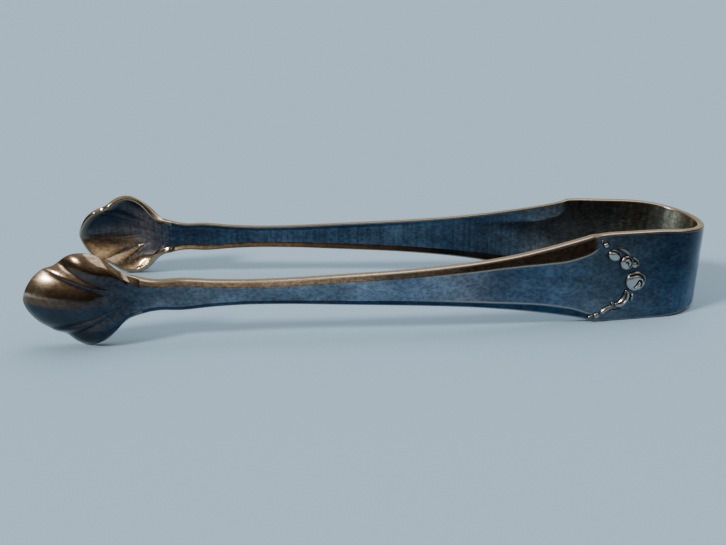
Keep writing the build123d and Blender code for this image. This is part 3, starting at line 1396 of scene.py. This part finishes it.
    def build(self) -> bpy.types.Object:
        """Make the bowl and let it stand for its CAD node.

        Returns:
            The new piece.
        """
        form = self.form
        rim_closing = 6
        grid = self._grid()
        outer_round, inner_round, limit = self._rim_rounds(grid)
        index = np.linspace(0, 1, self.rings + 1)[1:]
        inner_share = index[None, :] * limit[:, None]
        keep = np.array([np.interp(row, grid.share, np.arange(self.rings + 1)) for row in inner_share])
        top = grid.ring_values(keep, grid.surface)
        top_normal = grid.ring_values(keep, grid.normal)
        top_normal /= np.linalg.norm(top_normal, axis=2, keepdims=True)
        filled = grid.ring_values(keep, grid.fluted)[:, :, None]
        filled *= (1 - self.inner_flute_share) * (1 - index[None, :, None] ** rim_closing)
        under = top - top_normal * (grid.ring_values(keep, grid.thickness)[:, :, None] + filled)
        under[[0, -1], :, 0] = form.neck_x
        chain = np.concatenate([top, outer_round, inner_round[:, ::-1], under[:, ::-1]], axis=1)

        poles = np.array([grid.surface[0, 0], grid.surface[0, 0] - self._flat() * form.thickness])
        poles[1, 0] = form.neck_x
        points = np.concatenate([chain.reshape(-1, 3), poles])
        points[:, 1] *= self.side.value
        points[:, 2] += form.mid_z
        piece = make_piece(
            f"{self.side.label}_shell_bowl", points, self._faces(chain.shape[1]),
            self._tones(grid, top, inner_share),
        )
        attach(piece, self.side.body)
        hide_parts(f"{self.side.label}_bowl")
        self.dress(piece)
        return piece


@dataclass(frozen=True)
class Stroke:
    """A raised comma or leaf that tapers at both ends, as a chaser would leave it.

    Attributes:
        spine: its middle line in the ornament's plane, in millimetres.
        width: half its greatest breadth.
        height: its greatest height.
        fullness: how blunt its ends are; less is blunter.
        steps: points along it.
    """

    spine: tuple[Point, ...]
    width: float
    height: float
    fullness: float = 0.55
    steps: int = 40

    def add_to(self, work: bmesh.types.BMesh, base_depth: float) -> None:
        """Add the stroke's closed mesh.

        Args:
            work: the mesh under construction, in millimetres in the ornament's plane.
            base_depth: how far the base lies under the surface.
        """
        end_share, thinnest, height_taper, points_across = 0.04, 0.12, 0.7, 13
        line = spine_through(self.spine, self.steps)
        heading = np.gradient(line, axis=0)
        heading /= np.linalg.norm(heading, axis=1)[:, None]
        aside = np.stack([-heading[:, 1], heading[:, 0]], axis=1)
        run = np.linspace(end_share, 1 - end_share, self.steps)
        taper = np.maximum(np.sin(run * math.pi) ** self.fullness, thinnest)
        across = np.sin(np.linspace(-1, 1, points_across) * math.pi / 2)
        rows = []
        for i in range(self.steps):
            lift = self.height * taper[i] ** height_taper * np.sqrt(np.maximum(1 - across**2, 0.0))
            flat = line[i] + aside[i] * (across * self.width * taper[i])[:, None]
            top = [work.verts.new((p[0], p[1], h)) for p, h in zip(flat, lift)]
            bottom = [work.verts.new((p[0], p[1], -base_depth)) for p in flat[::-1]]
            rows.append(top + bottom)
        count = len(rows[0])
        for first, second in zip(rows, rows[1:]):
            for j in range(count):
                k = (j + 1) % count
                work.faces.new((first[j], first[k], second[k], second[j]))
        work.faces.new(rows[0][::-1])
        work.faces.new(rows[-1])


@dataclass(frozen=True)
class Dome:
    """A raised round or oval swelling with steep sides.

    Attributes:
        centre: its middle in the ornament's plane, in millimetres.
        radii: half its length and half its breadth.
        height: its height.
        tilt_deg: how far it is turned in the plane.
        squareness: how flat its top is.
        rings: rings from its top to its foot.
        spokes: points round it.
    """

    centre: Point
    radii: Point
    height: float
    tilt_deg: float = 0.0
    squareness: float = 2.4
    rings: int = 14
    spokes: int = 48

    def _ring(self, work: bmesh.types.BMesh, share: float, lift: float) -> list[bmesh.types.BMVert]:
        """Add one ring of vertices.

        Args:
            work: the mesh under construction.
            share: size of the ring, as a share of the dome's.
            lift: its height.

        Returns:
            The new vertices.
        """
        cos, sin = math.cos(math.radians(self.tilt_deg)), math.sin(math.radians(self.tilt_deg))
        ring = []
        for j in range(self.spokes):
            turn = 2 * math.pi * j / self.spokes
            u, v = share * self.radii[0] * math.cos(turn), share * self.radii[1] * math.sin(turn)
            place = (self.centre[0] + u * cos - v * sin, self.centre[1] + u * sin + v * cos, lift)
            ring.append(work.verts.new(place))
        return ring

    def add_to(self, work: bmesh.types.BMesh, base_depth: float) -> None:
        """Add the dome's closed mesh.

        Args:
            work: the mesh under construction, in millimetres in the ornament's plane.
            base_depth: how far the base lies under the surface.
        """
        shoulder = 0.6
        top = work.verts.new((*self.centre, self.height))
        rows = []
        for i in range(1, self.rings):
            share = math.sin(i / self.rings * math.pi / 2)
            rows.append(self._ring(work, share, self.height * (1 - share**self.squareness) ** shoulder))
        rows.append(self._ring(work, 1.0, 0.0))
        rows.append(self._ring(work, 1.0, -base_depth))
        for j in range(self.spokes):
            k = (j + 1) % self.spokes
            work.faces.new((top, rows[0][j], rows[0][k]))
            for first, second in zip(rows, rows[1:]):
                work.faces.new((first[j], second[j], second[k], first[k]))
        work.faces.new(rows[-1][::-1])


@dataclass(frozen=True)
class ChasedLine:
    """A groove driven into a raised shape with a fine punch; sizes in millimetres."""

    path: tuple[Point, ...]
    width: float
    depth: float

    def share(self, flat: np.ndarray) -> np.ndarray:
        """Work out how deep each point lies in the groove.

        Args:
            flat: points in the ornament's plane, shaped (count, 2).

        Returns:
            A number from 0 to 1 for each point.
        """
        line_steps = 40
        line = spine_through(self.path, line_steps)
        gap = np.min(np.hypot(*(flat[:, None, :] - line[None, :, :]).transpose(2, 0, 1)), axis=1)
        return np.exp(-((gap / self.width) ** 2))


@dataclass(frozen=True)
class Motif:
    """One piece of the ornament: raised shapes, and lines chased into them."""

    centre: Point
    raised: tuple[Stroke | Dome, ...]
    lines: tuple[ChasedLine, ...] = ()


ORNAMENT: dict[str, Motif] = {
    "top_leaf": Motif((-7.0, 7.75), (
        Stroke(((-0.3, -0.3), (-0.1, 0.1), (0.0, 0.5)), 0.2, 0.32),
        Stroke(((0.15, -0.5), (0.35, -0.05), (0.35, 0.3)), 0.16, 0.28),
    )),
    "upper_bead": Motif((-6.3, 7.1), (Dome((0.0, 0.0), (0.55, 0.55), 0.55),)),
    "bean_scroll": Motif(
        (-4.4, 5.0),
        (Dome((0.0, 0.0), (1.4, 1.15), 0.75, -30.0, 2.8),),
        (ChasedLine(((-0.75, 0.85), (0.1, 0.75), (0.85, 0.15), (1.05, -0.4)), 0.14, 0.36),),
    ),
    "side_leaf": Motif((-2.5, 5.5), (
        Stroke(((-1.5, 1.0), (-0.4, 0.6), (0.6, -0.1), (1.25, -1.05)), 0.5, 0.34),
    )),
    "oval_scroll": Motif(
        (-1.85, 3.35),
        (Dome((0.0, 0.0), (1.35, 1.5), 0.8, 15.0, 2.8),),
        (
            ChasedLine(((-0.3, 0.95), (0.35, 0.95), (0.8, 0.45), (0.8, -0.25), (0.45, -0.75)), 0.15, 0.38),
            ChasedLine(((-0.35, 0.35), (0.1, 0.2), (0.1, -0.25)), 0.12, 0.22),
        ),
    ),
    "curl_leaf": Motif(
        (-0.1, 2.95),
        (
            Dome((0.05, -0.05), (0.85, 0.72), 0.6, 20.0),
            Stroke(((-0.75, 1.35), (0.1, 1.05), (0.62, 0.3)), 0.24, 0.45),
        ),
        (ChasedLine(((0.2, 0.45), (0.45, 0.0), (0.3, -0.4)), 0.13, 0.3),),
    ),
    "boss": Motif(
        (0.42, -0.45),
        (Dome((0.0, 0.0), (2.05, 2.05), 0.85, 0.0, 3.2),),
        (
            ChasedLine(((-1.2, 1.2), (-0.3, 1.42), (0.6, 1.3), (1.3, 0.75), (1.55, 0.1)), 0.19, 0.42),
            ChasedLine(
                ((-0.35, -0.95), (0.05, -0.35), (0.5, 0.3), (0.85, 0.1), (1.0, -0.45), (0.95, -0.85)),
                0.16,
                0.4,
            ),
        ),
    ),
    "drop_leaf": Motif((0.0, -3.7), (Stroke(((0.14, 0.85), (0.06, 0.3), (-0.06, -0.9)), 0.32, 0.42),)),
    "crescent_scroll": Motif(
        (-1.9, -3.8),
        (
            Stroke(((0.68, 1.75), (0.75, 0.6), (0.25, -0.6), (-0.6, -1.15), (-1.4, -1.05)), 0.78, 0.74, 0.5),
            Dome((-1.8, -0.9), (0.42, 0.38), 0.34),
        ),
        (ChasedLine(((0.62, 1.15), (0.5, 0.2), (0.05, -0.55), (-0.65, -0.9)), 0.15, 0.42),),
    ),
    "tail_scroll": Motif(
        (-4.8, -5.95),
        (
            Stroke(((-1.2, -0.7), (-0.4, -0.15), (0.4, 0.38), (1.2, 0.7)), 0.58, 0.56),
            Stroke(((0.2, -0.3), (1.4, -0.25), (2.9, 0.1)), 0.17, 0.3),
        ),
        (ChasedLine(((-0.35, -0.45), (0.3, 0.0), (0.7, 0.25)), 0.12, 0.2),),
    ),
    "lower_bead": Motif((-6.7, -6.95), (Dome((0.0, 0.0), (0.66, 0.62), 0.55),)),
    "foot_leaf": Motif((-7.8, -7.2), (Stroke(((-0.6, -0.25), (0.0, 0.15), (0.45, 0.3)), 0.32, 0.34),)),
}


@dataclass
class ScrollOrnament(TongsPart):
    """The chased row of beads, scrolls and leaves across one shoulder.

    Attributes:
        boss_x: x of the row's middle.
        boss_drop: how far the middle lies below the strip's centre line.
        grain: finest detail that the casting keeps.
        base_depth: how far each shape's base lies under the strip's face.
    """

    boss_x: float = 47.25
    boss_drop: float = 0.4
    grain: float = 0.05
    base_depth: float = 0.2

    def place(self, local: np.ndarray) -> np.ndarray:
        """Move points from the ornament's plane onto the shoulder.

        Args:
            local: (along the strip, up, outward) points in millimetres.

        Returns:
            Points in the tongs' frame, in millimetres.
        """
        splay = math.radians(self.form.splay_deg)
        cos, sin = math.cos(splay), math.sin(splay)
        y = float(self.form.outer_face(self.boss_x)) - local[:, 0] * sin + local[:, 2] * cos
        return np.stack([
            self.boss_x + local[:, 0] * cos + local[:, 2] * sin,
            y * self.side.value,
            self.form.mid_z - self.boss_drop + local[:, 1],
        ], axis=1)

    def cast(self, shapes: Sequence[Stroke | Dome]) -> tuple[np.ndarray, list[tuple[int, ...]]]:
        """Melt overlapping shapes into one closed skin.

        Args:
            shapes: the shapes that make up the piece.

        Returns:
            Vertices in the ornament's plane, in millimetres, and faces.
        """
        soften_share, soften_rounds = 0.5, 3
        work = bmesh.new()
        for shape in shapes:
            shape.add_to(work, self.base_depth)
        bmesh.ops.recalc_face_normals(work, faces=work.faces)
        mesh = bpy.data.meshes.new("casting")
        work.to_mesh(mesh)
        work.free()
        rough = bpy.data.objects.new("casting", mesh)
        bpy.context.scene.collection.objects.link(rough)
        melt = rough.modifiers.new("melt", "REMESH")
        melt.mode = "VOXEL"
        melt.voxel_size = self.grain
        soften = rough.modifiers.new("soften", "SMOOTH")
        soften.factor = soften_share
        soften.iterations = soften_rounds
        graph = bpy.context.evaluated_depsgraph_get()
        melted = bpy.data.meshes.new_from_object(rough.evaluated_get(graph))
        points = np.array([v.co for v in melted.vertices], float).reshape(-1, 3)
        faces = [tuple(p.vertices) for p in melted.polygons]
        bpy.data.objects.remove(rough)
        bpy.data.meshes.remove(melted)
        return points, faces

    def _chase(self, points: np.ndarray, lines: Sequence[ChasedLine]) -> dict[Tone, np.ndarray]:
        """Drive the chased lines into a casting, and mark its wear and its recesses.

        Args:
            points: the casting's vertices in the ornament's plane; their heights change.
            lines: the grooves.

        Returns:
            One value per vertex for each tone.
        """
        line_foot, chased_dark = 0.25, 0.9
        wear_from, wear_over = 0.15, 0.4
        recess_from, recess_over = 0.02, 0.2
        height = points[:, 2].copy()
        chased = np.zeros(len(points))
        for line in lines:
            share = line.share(points[:, :2]) * ease(height / line_foot)
            points[:, 2] -= line.depth * share
            chased = np.maximum(chased, share)
        # The feet of the shapes, where they meet the strip, are darkened: painted shade.
        recess = 1 - ease((height - recess_from) / recess_over)
        return {
            Tone.WEAR: ease((height - wear_from) / wear_over) * (1 - chased),
            Tone.GROOVE: np.maximum(recess, chased_dark * chased),
        }

    def build(self) -> list[bpy.types.Object]:
        """Make every piece of the row and let each stand for its CAD node.

        Returns:
            The new pieces.
        """
        made = []
        for label, motif in ORNAMENT.items():
            points, faces = self.cast(motif.raised)
            tones = self._chase(points, motif.lines)
            points[:, :2] += motif.centre
            piece = make_piece(f"{self.side.label}_{label}_casting", self.place(points), faces, tones)
            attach(piece, self.side.body)
            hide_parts(f"{self.side.label}_{label}")
            self.dress(piece)
            made.append(piece)
        return made


@dataclass(frozen=True)
class MattFloor:
    """A plain matt floor under the tongs; reach in metres."""

    colour: Colour = (0.36, 0.54, 0.72)
    roughness: float = 0.9
    reach: float = 3.0

    def build(self) -> None:
        """Lay the floor and keep it out of the part."""
        desk = SurfaceDesk("floor")
        desk.shader.inputs["Base Color"].default_value = (*self.colour, 1.0)
        desk.shader.inputs["Roughness"].default_value = self.roughness
        corners = [(u * self.reach, v * self.reach, 0.0) for u, v in ((-1, -1), (1, -1), (1, 1), (-1, 1))]
        mesh = bpy.data.meshes.new("floor")
        mesh.from_pydata(corners, [], [(0, 1, 2, 3)])
        mesh.materials.append(desk.material)
        floor = bpy.data.objects.new("floor", mesh)
        bpy.context.scene.collection.objects.link(floor)


@dataclass(frozen=True)
class Room:
    """A dim warm room with a pale wall behind, seen only in the metal.

    Attributes:
        heights: (sine of the height above the horizon, colour) pairs, from the horizon up.
        wall: colour of the wall behind the tongs.
        wall_span: how far back a direction points where the wall begins and is full.
        backdrop: plain colour that shows beyond the floor.
    """

    heights: tuple[Stop, ...] = (
        (0.02, (0.055, 0.044, 0.035)), (0.2, (0.055, 0.044, 0.035)), (0.45, (0.2, 0.165, 0.13)),
        (0.75, (0.42, 0.36, 0.29)), (1.0, (0.6, 0.6, 0.6)),
    )
    wall: Colour = (0.62, 0.54, 0.43)
    wall_span: Span = (0.3, 0.8)
    backdrop: Colour = (0.45, 0.59, 0.715)

    def build(self) -> None:
        """Put the room round the tongs."""
        world = bpy.data.worlds.new("room")
        world.use_nodes = True
        desk = NodeDesk(world.node_tree)
        output = desk.add("ShaderNodeOutputWorld")
        glow = desk.add("ShaderNodeBackground")
        desk.feed(output.inputs["Surface"], glow.outputs["Background"])
        direction = desk.add("ShaderNodeTexCoord").outputs["Generated"]
        ramp = desk.add("ShaderNodeValToRGB")
        fill_ramp(ramp, self.heights)
        desk.feed(ramp.inputs["Fac"], desk.part_of(direction, "Z"))
        behind = desk.spread(desk.part_of(direction, "Y"), *self.wall_span)
        mirrored = desk.blend(behind, ramp.outputs["Color"], self.wall)
        seen = desk.add("ShaderNodeLightPath").outputs["Is Camera Ray"]
        desk.feed(glow.inputs["Color"], desk.blend(seen, mirrored, self.backdrop))
        bpy.context.scene.world = world


@dataclass(frozen=True)
class SoftSun:
    """A distant soft lamp.

    Attributes:
        name: the lamp's name.
        towards: direction from the tongs to the lamp.
        strength: its power on a surface that faces it.
        spread_deg: how wide it looks from the tongs.
        tint: its colour.
    """

    name: str
    towards: Colour
    strength: float
    spread_deg: float
    tint: Colour

    def build(self) -> None:
        """Hang the lamp."""
        data = bpy.data.lights.new(self.name, "SUN")
        data.energy = self.strength
        data.angle = math.radians(self.spread_deg)
        data.color = self.tint
        lamp = bpy.data.objects.new(self.name, data)
        lamp.rotation_euler = Vector(self.towards).to_track_quat("Z", "Y").to_euler()
        bpy.context.scene.collection.objects.link(lamp)


@dataclass(frozen=True)
class Viewpoint:
    """The camera, looking down at the tongs from the front; place in millimetres."""

    place: tuple[float, float, float] = (-9.5, -153.05, 66.18)
    pitch_deg: float = 21.4
    yaw_deg: float = 2.4
    lens_mm: float = 41.03
    sensor_mm: float = 36.0
    nearest: float = 0.005

    def build(self) -> None:
        """Set up the camera."""
        data = bpy.data.cameras.new("camera")
        data.lens = self.lens_mm
        data.sensor_width = self.sensor_mm
        data.clip_start = self.nearest
        camera = bpy.data.objects.new("camera", data)
        camera.location = tuple(v * MM for v in self.place)
        camera.rotation_euler = (math.radians(90 - self.pitch_deg), 0.0, math.radians(-self.yaw_deg))
        bpy.context.scene.collection.objects.link(camera)
        bpy.context.scene.camera = camera


@dataclass(frozen=True)
class Studio:
    """Everything that isn't part of the tongs."""

    floor: MattFloor = MattFloor()
    room: Room = Room()
    window: SoftSun = SoftSun("window", (-0.72, -0.35, 0.60), 2.6, 10.0, (1.0, 0.96, 0.90))
    fill: SoftSun = SoftSun("fill", (0.35, 0.2, 0.9), 1.2, 50.0, (0.95, 0.98, 1.0))
    viewpoint: Viewpoint = Viewpoint()

    def build(self) -> None:
        """Set up the floor, the light and the camera."""
        for thing in (self.floor, self.room, self.window, self.fill, self.viewpoint):
            thing.build()


def main() -> None:
    """Build the tongs piece by piece, then the studio round them."""
    logging.basicConfig(level=logging.INFO, format="%(message)s")
    low, high = CAD_BOX
    form = StripForm(
        length=(high.x - low.x) / MM,
        mid_z=(high.z + low.z) / 2 / MM,
        neck_x=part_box("front_arm")[0].x / MM,
    )
    strip_metal, bowl_metal, ornament_metal = (
        finish.build() for finish in (STRIP_FINISH, BOWL_FINISH, ORNAMENT_FINISH)
    )
    for side in Side:
        pieces = [
            SpringStrip(form, side, strip_metal).build(),
            ShellBowl(form, side, bowl_metal).build(),
            *ScrollOrnament(form, side, ornament_metal).build(),
        ]
        for piece in pieces:
            log.info("%s: %d faces", piece.name, len(piece.data.polygons))
    Studio().build()


if __name__ == "__main__":
    main()
